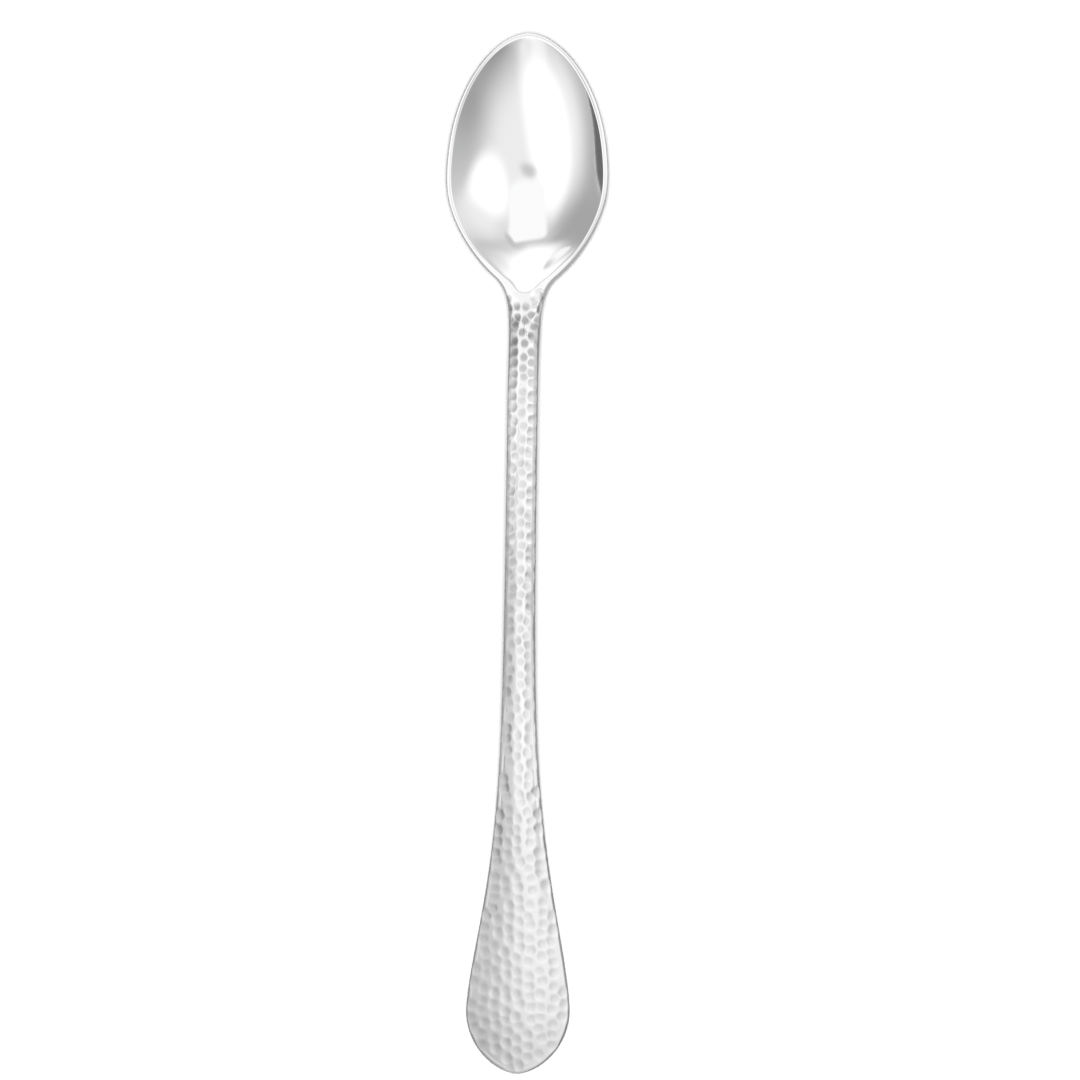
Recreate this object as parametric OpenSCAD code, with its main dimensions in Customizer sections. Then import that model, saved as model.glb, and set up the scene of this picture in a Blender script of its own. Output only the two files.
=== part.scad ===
// Iced tea spoon: one forging of stainless steel, a smooth egg-shaped bowl on a long slim handle.
// The bowl points along +Y, up is +Z and the table is the plane z = 0.
// Distances named s run along the spoon, from the bowl's tip to the handle's end.

/* [Overall] */
// Length from the bowl's tip to the handle's end
overall_length = 190; // [180:1:200]

/* [Bowl] */
// Width of the bowl at its widest place
bowl_width = 29.7; // [27:0.1:32]
// Distance from the tip to the widest place
bowl_shoulder = 26; // [25:0.5:27]
// Distance from the tip to where the bowl's two sides would meet
bowl_length = 47.6; // [46:0.2:50]
// Depth of the hollow below the rim
bowl_depth = 6.4; // [5.4:0.1:7.4]
// Thickness of the metal at the bottom of the bowl
bowl_gauge = 1.2; // [1:0.05:1.5]
// Height of the rim's edge
rim_edge = 0.95; // [0.8:0.05:1.2]
// Width of the flat on top of the rim
rim_flat = 0.45; // [0.3:0.05:0.7]
// How much higher the rim stands at the tip than at its sides
tip_lift = 0.9; // [0:0.1:1.5]

/* [Handle] */
// Width of the stem at its slimmest
stem_width = 5.5; // [5:0.1:6.5]
// Thickness of the stem at its slimmest
stem_thickness = 3.1; // [2.8:0.1:3.6]
// Height of the stem's rounded side
stem_edge = 2; // [1.6:0.1:2.2]
// Height of the side at the neck, where the metal is thickest
neck_wall = 3.6; // [2.6:0.1:4]
// How much deeper the heel under the neck is than its side
neck_heel = 0.7; // [0.4:0.1:1]
// Width of the handle's end
end_width = 19; // [17:0.1:21]
// Thickness of the handle's end
end_thickness = 1.9; // [1.6:0.1:2.4]
// Height of the rounded side of the handle's end
end_edge = 1; // [0.8:0.1:1.3]
// How much the underside of the handle's end is hollowed, so that it lies steady on its two sides
end_hollow = 0.05; // [0.02:0.01:0.15]
// Length of the rounded nose that closes the handle's end
end_nose = 11.5; // [11:0.5:13]
// Height of the middle of the stem's side above the table, at the crest of the arch
crest_height = 9.7; // [9:0.1:12]
// How much the very end of the handle turns up
end_lift = 0.7; // [0:0.1:1.2]

/* [Facets] */
// Ribs on each side round the tip of the bowl
tip_ribs = 26; // [16:1:32]
// Ribs on each side between the bowl's tip and the neck
side_ribs = 26; // [16:1:32]
// Ribs on each side between the neck and the handle's end
stem_ribs = 54; // [36:1:60]
// Ribs on each side round the handle's end
end_ribs = 18; // [10:1:24]
// Columns from the rim to the middle line
columns = 9; // [6:1:10]

/* [Hidden] */

// Where the smooth bowl ends and the hammered handle starts
neck_at = bowl_length - 0.2;
// Where the bowl's side turns into the flare that runs out along the stem
flare_from = bowl_length - 3.1;
// Where the neck starts to climb, where the arch crests and where the handle lies lowest
climb_from = bowl_length - 7.6;
crest_at = bowl_length + 22.4;
lowest_at = overall_length - 16;
// Widest place of the handle's end
end_at = overall_length - end_nose;
// Distance in which the handle slims from its end, and how fast it does at first
end_taper = 28;
end_sweep = 1.52;
// Fullness of the outline: of the bowl's tip, of its sides towards the neck, of the handle's end
tip_fullness = 0.55;
side_fullness = 0.61;
end_fullness = 0.59;
// Where the outline of the tip hands over to that of the sides
tip_until = 16;
sides_from = 36;
// Inset of the rounded side, as seen from above, at the bowl, at the neck, at the stem and at the end
rim_round = 0.45;
neck_round = 0.75;
stem_round = 0.55;
end_round = 0.4;
// Where the side starts to grow towards the neck, where it is highest and where it is the stem's
wall_from = bowl_length - 17.6;
wall_at = bowl_length - 1.6;
wall_to = crest_at;
// Width of the smooth border on top of the handle
handle_flat = 0.3;
// Where the rise of the hollow from the tip ends, and where its rise to the neck starts
tip_rise_until = 34;
neck_rise_from = 14;
// How much steeper than a parabola the hollow's walls are at the rim, in the middle of the bowl,
// and how much gentler towards the neck
wall_rise = 0.17;
neck_rise = -0.2;
// Length of the middle line that the turned ribs of the bowl's tip and the handle's end share
tip_root = 4;
end_root = 3.5;
// Angle of the first turned rib of the bowl's tip
tip_turn = 60;
// Angles of the points of the rounded side, from the top round to the underside
side_angles = [for (a = [90 : -30 : -90]) a];

bowl_half = bowl_width / 2;
stem_half = stem_width / 2;
end_half = end_width / 2;
rim_middle = bowl_depth + bowl_gauge - rim_edge / 2;
stem_crown = (stem_thickness - stem_edge) / 2;
end_crown = end_thickness - end_edge;

function mix(a, b, t) = a + (b - a) * t;
function clamp(t) = min(1, max(0, t));
// 0 before a, 1 after b and a smooth S-curve between
function ease(a, b, s) = let (t = clamp((s - a) / (b - a))) t * t * t * (t * (6 * t - 15) + 10);
// A value that is one thing at the bowl, another on the stem and a third at the handle's end
function along(bowl, stem, end, s) =
    mix(mix(bowl, stem, ease(climb_from, neck_at + 6, s)), end, ease(100, lowest_at, s));

// How much of the neck's high side there is at s
function neck(s) = ease(wall_from, wall_at, s) * (1 - ease(wall_at + 3, wall_to, s));
function edge(s) = mix(along(rim_edge, stem_edge, end_edge, s), neck_wall, neck(s));
function round_in(s) = mix(along(rim_round, stem_round, end_round, s), neck_round, neck(s));
function flat_in(s) = along(rim_flat, handle_flat, handle_flat, s);
function top_crown(s) = along(0, stem_crown, end_crown, s);
function under_crown(s) =
    mix(neck_heel * ease(climb_from - 6, neck_at + 1, s),
        mix(stem_crown, -end_hollow, ease(100, lowest_at, s)),
        ease(neck_at, crest_at, s));

// Half width of a nose of length n and half width h, at distance d from its widest place
function nose(h, n, d, fullness) = h * pow(max(0, 1 - pow(d / n, 2)), fullness);
// Half width of the bowl between its widest place and the flare
function bowl_side(s) =
    bowl_half * pow(cos(90 * (s - bowl_shoulder) / (bowl_length - bowl_shoulder)), side_fullness);
// The flare carries on from the bowl's side with the same slope and dies away along the stem
flare_half = bowl_side(flare_from) - stem_half;
flare_run = flare_half * 0.1 / (bowl_side(flare_from - 0.05) - bowl_side(flare_from + 0.05));
function handle_side(s) =
    stem_half + flare_half * exp(-(s - flare_from) / flare_run)
    + (end_half - stem_half) * exp(-pow(max(0, end_at - s) / end_taper, end_sweep));
function tip_side(s, inset) =
    nose(bowl_half - inset, bowl_shoulder - inset, bowl_shoulder - s, tip_fullness);
// Half width of the spoon at s, drawn in by an inset
function half_width(s, inset) =
    s < tip_until ? tip_side(s, inset)
    : s < sides_from
        ? mix(tip_side(s, inset), bowl_side(s) - inset, ease(tip_until, sides_from, s))
    : s < flare_from ? bowl_side(s) - inset
    : s < end_at ? handle_side(s) - inset
    : nose(end_half - inset, end_nose - inset, s - end_at, end_fullness);

// Height of the middle of the spoon's side above the table. The neck's side grows downwards.
function side_height(s) =
    s < crest_at
        ? mix(rim_middle, crest_height, ease(climb_from, crest_at, s))
          + tip_lift * pow(max(0, 1 - s / bowl_shoulder), 3)
          - (edge(s) - along(rim_edge, stem_edge, end_edge, s)) / 2
        : let (t = clamp((s - crest_at) / (lowest_at - crest_at)))
          mix(crest_height, end_edge / 2, ease(0, 1, pow(t, 1.7)))
          + end_lift * pow(max(0, (s - lowest_at) / (overall_length - lowest_at)), 2);

// Depth of the hollow at s: 0 at the tip's rim and at the neck, and 1 near the middle
function raw_hollow(s, inset) =
    pow(1 - pow(1 - clamp((s - inset) / (tip_rise_until - inset)), 3), 2 * tip_fullness)
    * pow(1 - pow(clamp((s - neck_rise_from) / (bowl_length - neck_rise_from)), 4.8), 1.6);
deepest = max([for (s = [20 : 0.25 : 32]) raw_hollow(s, rim_round)]);
function hollow(s, inset) = raw_hollow(s, inset) / deepest;
// Shape of the bowl's cross-section at a share v of the half width
function dish(v, s) =
    (1 - v * v) * (1 + mix(wall_rise, neck_rise, ease(bowl_shoulder - 6, climb_from, s)) * v * v);
// How much of the handle's crown is left at s: all of it, down to none at the very end
function swell(s, inset) = pow(nose(1, end_nose - inset, max(0, s - end_at), end_fullness), 2);
// Share of the half width at which a point lies
function share(x, s, inset) = min(1, abs(x) / max(0.001, half_width(s, inset)));

function top_height(x, s) =
    let (inset = round_in(s) + flat_in(s), v = share(x, s, inset), h = hollow(s, inset))
    side_height(s) + edge(s) / 2 + top_crown(s) * swell(s, inset) * (1 - v * v)
    - bowl_depth * h * dish(v, s);
function under_height(x, s) =
    let (inset = round_in(s), v = share(x, s, inset), h = hollow(s, inset))
    side_height(s) - edge(s) / 2 - under_crown(s) * swell(s, inset) * (1 - v * v)
    - (bowl_depth + bowl_gauge - edge(s)) * h * dish(v, s);

// A rib runs from the outline of the spoon to its middle line, seen from above. It is a kind, a
// place and a root on the middle line. The place of a rib straight across is its s, and that of
// a rib turned round the bowl's tip or the handle's end is its angle.
function across_rib(s) = ["across", s, s];
function tip_rib(angle) =
    ["tip", angle, bowl_shoulder - bowl_shoulder * cos(tip_turn) - tip_root * (1 - angle / tip_turn)];
function end_rib(angle) = ["end", angle, end_at + end_root * (1 - angle / 90)];
// Plan of a point of the rib's edge zone, by its inset from the outline
function at_edge(rib, inset) =
    rib[0] == "tip"
        ? [(bowl_half - inset) * pow(sin(rib[1]), 2 * tip_fullness),
           bowl_shoulder - (bowl_shoulder - inset) * cos(rib[1])]
    : rib[0] == "end"
        ? [(end_half - inset) * pow(sin(rib[1]), 2 * end_fullness),
           end_at + (end_nose - inset) * cos(rib[1])]
    : [half_width(rib[1], inset), rib[1]];
// Plans of the points from an inset to the root, evenly spaced
function to_root(rib, inset) =
    [for (k = [0 : columns]) mix(at_edge(rib, inset), [0, rib[2]], k / columns)];

// Points of one rib: out over the top, round the side and back along the underside
function rib_points(rib) =
    let (
        s0 = at_edge(rib, 0)[1],
        r = round_in(s0),
        over = to_root(rib, r + flat_in(s0)),
        under = to_root(rib, r)
    )
    concat(
        [for (k = [columns : -1 : 0]) [each over[k], top_height(over[k][0], over[k][1])]],
        [for (a = side_angles) let (p = at_edge(rib, r * (1 - cos(a))))
            [each p, side_height(p[1]) + edge(p[1]) / 2 * sin(a)]],
        [for (k = [1 : columns]) [each under[k], under_height(under[k][0], under[k][1])]]
    );

function reversed(list) = [for (i = [len(list) - 1 : -1 : 0]) list[i]];
function turned(faces, flip) = flip ? [for (f = faces) reversed(f)] : faces;

// A closed solid over a row of ribs, from a straight cut at the neck to a rounded tip.
// to_end says that the row runs towards the handle's end and not towards the bowl's tip.
module forging(ribs, to_end) {
    rows = [for (rib = ribs) rib_points(rib)];
    n = len(rows) - 1;
    m = len(rows[0]);
    right = [for (row = rows) for (p = row) [p[0], overall_length / 2 - p[1], p[2]]];
    left = [for (p = right) [-p[0], p[1], p[2]]];
    function right_at(i, j) = i * m + j;
    // The left side shares its middle line and its last rib with the right side
    function left_at(i, j) = right_at(j == 0 || j == m - 1 || i == n ? i : n + 1 + i, j);
    // Two triangles over a cell between two ribs. Under the spoon they are split the other way, so
    // that none lies flat on the middle line at the tip.
    function cell(a, b, c, d, over) = over ? [[a, b, c], [b, d, c]] : [[a, b, d], [a, d, c]];
    right_faces = [for (i = [0 : n - 1]) for (j = [0 : m - 2]) each
        cell(right_at(i, j), right_at(i, j + 1), right_at(i + 1, j), right_at(i + 1, j + 1), j < m / 2)];
    left_faces = [for (i = [0 : n - 1]) for (j = [0 : m - 2]) each
        cell(left_at(i, j), left_at(i, j + 1), left_at(i + 1, j), left_at(i + 1, j + 1), j < m / 2)];
    cut = concat([for (j = [0 : m - 1]) right_at(0, j)], [for (j = [m - 2 : -1 : 1]) left_at(0, j)]);
    polyhedron(
        concat(right, left),
        concat(turned(right_faces, !to_end), turned(left_faces, to_end), turned([cut], to_end)),
        convexity = 6
    );
}

// Bowl: polished smooth, from its tip to the neck
module bowl() {
    tip_from = bowl_shoulder * (1 - cos(tip_turn));
    ribs = concat(
        [for (i = [0 : side_ribs - 1]) across_rib(mix(neck_at, tip_from, i / side_ribs))],
        [for (i = [0 : tip_ribs]) tip_rib(tip_turn * (1 - i / tip_ribs))]
    );
    color("silver") forging(ribs, false);
}

// Handle: the hammered part, from the neck to its end
module handle() {
    ribs = concat(
        [for (i = [0 : stem_ribs - 1]) across_rib(mix(neck_at, end_at, pow(i / stem_ribs, 1.15)))],
        [for (i = [0 : end_ribs]) end_rib(90 * (1 - i / end_ribs))]
    );
    color("gainsboro") forging(ribs, true);
}

bowl();
handle();
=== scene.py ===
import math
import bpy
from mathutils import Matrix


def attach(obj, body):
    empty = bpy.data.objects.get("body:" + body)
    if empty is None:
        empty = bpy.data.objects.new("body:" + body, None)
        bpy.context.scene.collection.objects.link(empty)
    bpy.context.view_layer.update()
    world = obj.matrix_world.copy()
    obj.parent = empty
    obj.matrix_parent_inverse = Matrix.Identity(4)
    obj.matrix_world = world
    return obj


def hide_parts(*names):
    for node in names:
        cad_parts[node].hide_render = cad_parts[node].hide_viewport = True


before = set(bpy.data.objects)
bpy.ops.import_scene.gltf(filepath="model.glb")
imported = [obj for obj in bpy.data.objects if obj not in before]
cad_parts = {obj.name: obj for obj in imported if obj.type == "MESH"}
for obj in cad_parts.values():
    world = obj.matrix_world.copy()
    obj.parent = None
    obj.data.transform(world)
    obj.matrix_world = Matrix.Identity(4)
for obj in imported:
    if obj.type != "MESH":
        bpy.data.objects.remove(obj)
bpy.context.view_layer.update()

# Iced tea spoon, forged in one piece of stainless steel: a polished bowl on a hammered handle.
#
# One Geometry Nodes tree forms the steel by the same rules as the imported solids, strikes the
# hammer marks into the handle's top and underside, and hands out either the bowl or the handle.
# Lengths in the tree are millimetres. s runs from the bowl's tip to the handle's end, and x is
# the distance from the middle line.

from types import SimpleNamespace

import bmesh
import bpy
import numpy as np
from mathutils import Matrix, Vector

MM = 0.001

# Sizes of the forging, as in the solids
SIZES = {
    "overall_length": 190.0,
    "bowl_half": 14.85,
    "bowl_shoulder": 26.0,
    "bowl_length": 47.6,
    "bowl_depth": 6.4,
    "bowl_gauge": 1.2,
    "rim_edge": 0.95,
    "rim_flat": 0.45,
    "tip_lift": 0.9,
    "wall_rise": 0.17,
    "neck_rise": -0.2,
    "lip": 1.0,
    "stem_half": 2.75,
    "stem_edge": 2.0,
    "stem_crown": 0.55,
    "neck_wall": 3.6,
    "neck_heel": 0.7,
    "end_half": 9.5,
    "end_edge": 1.0,
    "end_crown": 0.9,
    "end_nose": 11.5,
    "end_hollow": 0.05,
    "crest_height": 9.7,
    "end_lift": 0.7,
}

# Ribs on each side: round the bowl's tip, along the bowl, along the stem, round the handle's end
TIP_RIBS = 80
BOWL_RIBS = 145
STEM_RIBS = 486
END_RIBS = 60
# Steps along a rib: over the top, on the rim's flat, round the side and along the underside
TOP_STEPS = 38
FLAT_STEPS = 3
SIDE_STEPS = 10
UNDER_STEPS = 32
# Angle through which the ribs turn round the bowl's tip, in degrees
TIP_TURN = 60
# Lengths of the middle line from which the turned ribs of the tip and of the end start
TIP_ROOT = 4.0
END_ROOT = 3.5
# How strongly the steps crowd toward the edge, as an exponent
BOWL_CROWDING = 1.5
HANDLE_CROWDING = 1.15

# Hammer marks: how far apart they are, how deep, how round the hammer's face is, how uneven and
# tilted the blows fell, how soft the ridges between them are, how much harder the neck's edges
# were struck, how far in from the outline the marks are whole, as a share of the rounded side,
# and how far the stem's hollows and the edges are made rougher and darkened with painted shade,
# where the neck's hollows have 1
MARKS = {
    "pitch_along": 2.15,
    "pitch_stem": 1.55,
    "pitch_end": 2.12,
    "depth_stem": 0.16,
    "depth_end": 0.13,
    "hammer_face": 4.5,
    "unevenness": 0.48,
    "tilt": 0.05,
    "ridge_softness": 0.075,
    "edge_blows": 1.6,
    "border": 0.5,
    "dullness": 0.4,
    "edge_dullness": 0.75,
}
TOP_SEED = 4
UNDER_SEED = 11
# Columns of blows on each side of the middle one, rows of blows, and where the rows start
HALF_COLUMNS = 5
ROWS = 68
ROWS_FROM = 44.0
# Where the marks start near the middle line, how far to each side that holds, and how much nearer
# the bowl they start for each millimetre further out
MARKS_FROM = 48.8
MARKS_FROM_HALF = 1.5
MARKS_FROM_SLANT = 0.8
# Length without blows before the handle's end
FREE_AT_END = 1.2
# Insets from the outline up to which a blow is kept
OUTERMOST = 0.35
OUTERMOST_AT_NECK = -0.6
# The outermost blows are drawn in: by this much past the border on the stem, and to this inset
# at the neck
DRAWN_IN = 0.12
DRAWN_IN_AT_NECK = 0.45
# Stretches of s over which the neck's way of hammering ends, the marks get shallower, and the
# columns stand further apart
NECK_BLOWS_END = (50.0, 57.0)
SHALLOWER = (85.0, 150.0)
FURTHER_APART = (90.0, 165.0)
# How much a blow's strength, from -1 to 1, adds to its depth and takes from its roundness
STRENGTH_IN_DEPTH = 0.3
STRENGTH_IN_FACE = 0.25
# Blows are aimed from so high above and below the table
AIM = 40.0
# Sets the blows on the top and on the underside apart when the nearest one is looked for
FACES_APART = 100.0
# Start value of the two smallest distances from a blow, more than any that counts
FAR_OFF = 2.0
# Inset at which the marks begin, as a share of the rounded side
MARKS_BEGIN = 0.1
# What makes a place part of a hollow: its distance from the blow, how much further off the next
# blow is, and how deep it was struck
HOLLOW_REACH = (0.35, 1.15)
HOLLOW_CLEAR = (0.0, 0.45)
HOLLOW_DEPTH = (0.0, 0.04)

# Where the steel is rougher and darkened with painted shade: stretches of s, distances from the
# middle line for the neck's sides, and insets for the strip beside the edge and the round edge of
# the end, as shares of the rounded side
SHADED_ROUGH = {
    "neck_starts": (47.5, 51.5),
    "neck_sides": (2.3, 3.3),
    "neck_ends": (55.0, 68.0),
    "stem_ends": (100.0, 140.0),
    "strip": (0.8, 1.9),
    "strip_starts": (49.0, 56.0),
    "strip_ends": (105.0, 150.0),
    "round": (0.25, 0.7),
    "round_starts": (115.0, 150.0),
}
# Painted shade and roughness of the end's hollows, as a share of the stem's
END_SHADE_AND_ROUGHNESS = 0.4


# Numbers and fields


class Field:
    """A value that a tree works out at every point of a mesh. It is reckoned with like a number."""

    def __init__(self, tree, socket):
        self.tree = tree
        self.socket = socket

    def __add__(self, other):
        return worked_out("ADD", self, other)

    def __radd__(self, other):
        return worked_out("ADD", other, self)

    def __sub__(self, other):
        return worked_out("SUBTRACT", self, other)

    def __rsub__(self, other):
        return worked_out("SUBTRACT", other, self)

    def __mul__(self, other):
        return worked_out("MULTIPLY", self, other)

    def __rmul__(self, other):
        return worked_out("MULTIPLY", other, self)

    def __truediv__(self, other):
        return worked_out("DIVIDE", self, other)


def give(tree, value, socket):
    """Links a field to a socket, or sets a plain value on it."""
    if isinstance(value, Field):
        tree.links.new(value.socket, socket)
    else:
        socket.default_value = value


# Steps that a tree has already, so that each is made only once
known_steps = {}


def worked_out(operation, *values):
    """The field that a Math node works out from fields and plain numbers."""
    step = (operation, values)
    if step not in known_steps:
        tree = next(value.tree for value in values if isinstance(value, Field))
        node = tree.nodes.new("ShaderNodeMath")
        node.operation = operation
        for value, socket in zip(values, node.inputs):
            give(tree, value, socket)
        known_steps[step] = Field(tree, node.outputs[0])
    return known_steps[step]


def for_both(operation, plain):
    """A function that takes plain numbers and fields alike."""

    def apply(*values):
        if any(isinstance(value, Field) for value in values):
            return worked_out(operation, *values)
        return plain(*values)

    return apply


power = for_both("POWER", math.pow)
sine = for_both("SINE", math.sin)
cosine = for_both("COSINE", math.cos)
exponential = for_both("EXPONENT", math.exp)
lesser = for_both("MINIMUM", min)
greater = for_both("MAXIMUM", max)
unsigned = for_both("ABSOLUTE", abs)
below = for_both("LESS_THAN", lambda a, b: float(a < b))


def choose(test, yes, no):
    """One value where a field is 1, and the other where it is 0."""
    step = ("choose", (test, yes, no))
    if step not in known_steps:
        node = test.tree.nodes.new("GeometryNodeSwitch")
        node.input_type = "FLOAT"
        for value, socket in zip((test, no, yes), node.inputs):
            give(test.tree, value, socket)
        known_steps[step] = Field(test.tree, node.outputs[0])
    return known_steps[step]


def mix(a, b, t):
    return a + (b - a) * t


def clamp(t):
    return lesser(1.0, greater(0.0, t))


def ease(a, b, s):
    """0 before a, 1 after b and a smooth S-curve between."""
    t = clamp((s - a) / (b - a))
    return t * t * t * (t * (t * 6.0 - 15.0) + 10.0)


# The forging's form


class Forging:
    """Outline and heights of the spoon. Its sizes, s and x are plain numbers or fields."""

    # Fullness of the outline: of the bowl's tip, of its sides, of the handle's end
    TIP_FULLNESS = 0.55
    SIDE_FULLNESS = 0.61
    END_FULLNESS = 0.59
    # Inset of the rounded side, as seen from above
    RIM_ROUND = 0.45
    NECK_ROUND = 0.75
    STEM_ROUND = 0.55
    END_ROUND = 0.6
    # Width of the smooth border on top of the handle
    HANDLE_FLAT = 0.3
    # Where the outline of the tip hands over to that of the sides
    TIP_UNTIL = 16.0
    SIDES_FROM = 36.0
    # Where the neck's high side starts, where it is full and where it starts to die away
    WALL_FROM = 30.0
    WALL_FULL = 46.0
    WALL_UNTIL = 49.0
    # Where the stem starts to turn into the flat end, in what distance it widens and how fast
    WIDENS_FROM = 100.0
    END_TAPER = 28.0
    END_SWEEP = 1.52
    # The bowl's bottom rises toward the tip up to here, and toward the neck from here on
    TIP_RISE_UNTIL = 34.0
    NECK_RISE_FROM = 14.0
    # Where the form of the bowl's walls starts to change toward the neck
    WALLS_CHANGE_FROM = 20.0

    def __init__(self, sizes):
        self.__dict__.update(sizes)
        self.neck_at = self.bowl_length - 0.2
        self.flare_from = self.bowl_length - 3.1
        self.climb_from = self.bowl_length - 7.6
        self.crest_at = self.bowl_length + 22.4
        self.lowest_at = self.overall_length - 16.0
        self.end_at = self.overall_length - self.end_nose

    def along(self, bowl, stem, end, s):
        """A value that is one thing at the bowl, another on the stem and a third at the end."""
        near = mix(bowl, stem, ease(self.climb_from, self.neck_at + 6.0, s))
        return mix(near, end, ease(self.WIDENS_FROM, self.lowest_at, s))

    def neck(self, s):
        """How much of the neck's high side there is at s."""
        rise = ease(self.WALL_FROM, self.WALL_FULL, s)
        return rise * (1.0 - ease(self.WALL_UNTIL, self.crest_at, s))

    def plain_edge(self, s):
        return self.along(self.rim_edge, self.stem_edge, self.end_edge, s)

    def edge(self, s):
        return mix(self.plain_edge(s), self.neck_wall, self.neck(s))

    def round_in(self, s):
        plain = self.along(self.RIM_ROUND, self.STEM_ROUND, self.END_ROUND, s)
        return mix(plain, self.NECK_ROUND, self.neck(s))

    def flat_in(self, s):
        return self.along(self.rim_flat, self.HANDLE_FLAT, self.HANDLE_FLAT, s)

    def top_crown(self, s):
        return self.along(0.0, self.stem_crown, self.end_crown, s)

    def under_crown(self, s):
        heel = self.neck_heel * ease(self.climb_from - 6.0, self.neck_at + 1.0, s)
        flatter = ease(self.WIDENS_FROM, self.lowest_at, s)
        handle = mix(self.stem_crown, 0.0 - self.end_hollow, flatter)
        return mix(heel, handle, ease(self.neck_at, self.crest_at, s))

    def nose(self, half, length, distance, fullness):
        """Half width of a rounded nose, at a distance from its widest place."""
        return half * power(greater(0.0, 1.0 - power(distance / length, 2.0)), fullness)

    def bowl_side(self, s):
        turn = (s - self.bowl_shoulder) / (self.bowl_length - self.bowl_shoulder) * (math.pi / 2)
        return self.bowl_half * power(greater(0.0, cosine(turn)), self.SIDE_FULLNESS)

    def tip_side(self, s, inset):
        half = self.bowl_half - inset
        ahead = greater(0.0, self.bowl_shoulder - s)
        return self.nose(half, self.bowl_shoulder - inset, ahead, self.TIP_FULLNESS)

    def handle_side(self, s):
        """The flare carries on from the bowl's side with the same slope and dies away."""
        flare = self.flare_half * exponential(0.0 - (s - self.flare_from) / self.flare_run)
        before = greater(0.0, self.end_at - s) / self.END_TAPER
        taper = exponential(0.0 - power(before, self.END_SWEEP))
        return self.stem_half + flare + (self.end_half - self.stem_half) * taper

    def half_width(self, s, inset):
        """Half width of the spoon at s, drawn in by an inset."""
        tip = self.tip_side(s, inset)
        side = self.bowl_side(s) - inset
        beyond = greater(0.0, s - self.end_at)
        end = self.nose(self.end_half - inset, self.end_nose - inset, beyond, self.END_FULLNESS)
        handle = choose(below(s, self.end_at), self.handle_side(s) - inset, end)
        late = choose(below(s, self.flare_from), side, handle)
        both = mix(tip, side, ease(self.TIP_UNTIL, self.SIDES_FROM, s))
        middle = choose(below(s, self.SIDES_FROM), both, late)
        return choose(below(s, self.TIP_UNTIL), tip, middle)

    def side_height(self, s):
        """Height of the middle of the side above the table. The neck's side grows downwards."""
        rim = self.bowl_depth + self.bowl_gauge - self.rim_edge / 2.0
        lift = self.tip_lift * power(greater(0.0, 1.0 - s / self.bowl_shoulder), 3.0)
        drop = (self.edge(s) - self.plain_edge(s)) / 2.0
        climb = mix(rim, self.crest_height, ease(self.climb_from, self.crest_at, s)) + lift - drop
        t = clamp((s - self.crest_at) / (self.lowest_at - self.crest_at))
        after = greater(0.0, s - self.lowest_at) / (self.overall_length - self.lowest_at)
        fall = mix(self.crest_height, self.end_edge / 2.0, ease(0.0, 1.0, power(t, 1.7)))
        fall = fall + self.end_lift * power(after, 2.0)
        return choose(below(s, self.crest_at), climb, fall)

    def raw_hollow(self, s, inset):
        t = clamp((s - inset) / (self.TIP_RISE_UNTIL - inset))
        rise = power(1.0 - power(1.0 - t, 3.0), 2.0 * self.TIP_FULLNESS)
        t = clamp((s - self.NECK_RISE_FROM) / (self.bowl_length - self.NECK_RISE_FROM))
        return rise * power(1.0 - power(t, 4.8), 1.6)

    def hollow(self, s, inset):
        """Share of the bowl's depth at s: 0 at the tip's rim and at the neck, 1 at the deepest."""
        return self.raw_hollow(s, inset) / self.deepest

    def dish(self, v, s):
        """The bowl's section at a share v of its half width, with a softer lip at the neck."""
        change = ease(self.WALLS_CHANGE_FROM, self.climb_from, s)
        rise = mix(self.wall_rise, self.neck_rise, change)
        soft_lip = 1.0 + self.lip * ease(self.climb_from - 3.0, self.neck_at, s)
        return power(1.0 - v * v, soft_lip) * (1.0 + rise * v * v)

    def swell(self, s, inset):
        """How much of the handle's crown is left: all of it, down to none at the very end."""
        beyond = greater(0.0, s - self.end_at)
        return power(self.nose(1.0, self.end_nose - inset, beyond, self.END_FULLNESS), 2.0)

    def share(self, x, s, inset):
        """Share of the half width at which a point lies."""
        return lesser(1.0, unsigned(x) / greater(0.001, self.half_width(s, inset)))

    def top_height(self, x, s):
        inset = self.round_in(s) + self.flat_in(s)
        v = self.share(x, s, inset)
        hollow = self.hollow(s, inset)
        crown = self.top_crown(s) * self.swell(s, inset) * (1.0 - v * v)
        depth = self.bowl_depth * hollow * self.dish(v, s)
        return self.side_height(s) + self.edge(s) / 2.0 + crown - depth

    def under_height(self, x, s):
        inset = self.round_in(s)
        v = self.share(x, s, inset)
        hollow = self.hollow(s, inset)
        crown = self.under_crown(s) * self.swell(s, inset) * (1.0 - v * v)
        belly = (self.bowl_depth + self.bowl_gauge - self.edge(s)) * hollow * self.dish(v, s)
        return self.side_height(s) - self.edge(s) / 2.0 - crown - belly


def with_derived(sizes):
    """The sizes, with those that follow from them: the flare at the neck and the hollow's scale."""
    form = Forging(sizes)
    flare_half = form.bowl_side(form.flare_from) - form.stem_half
    reach = 0.05
    drop = form.bowl_side(form.flare_from - reach) - form.bowl_side(form.flare_from + reach)
    flare_run = flare_half * 2.0 * reach / drop
    # The deepest place is looked for from 20 mm to 32 mm, every quarter of a millimetre
    deepest = max(form.raw_hollow(20.0 + 0.25 * n, form.RIM_ROUND) for n in range(49))
    derived = {"flare_half": flare_half, "flare_run": flare_run, "deepest": deepest}
    return {**sizes, **derived}


# The tree that forges and hammers


def spoken(name):
    """The name of a tree's input: neck_wall becomes Neck Wall."""
    return name.replace("_", " ").title()


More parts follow.
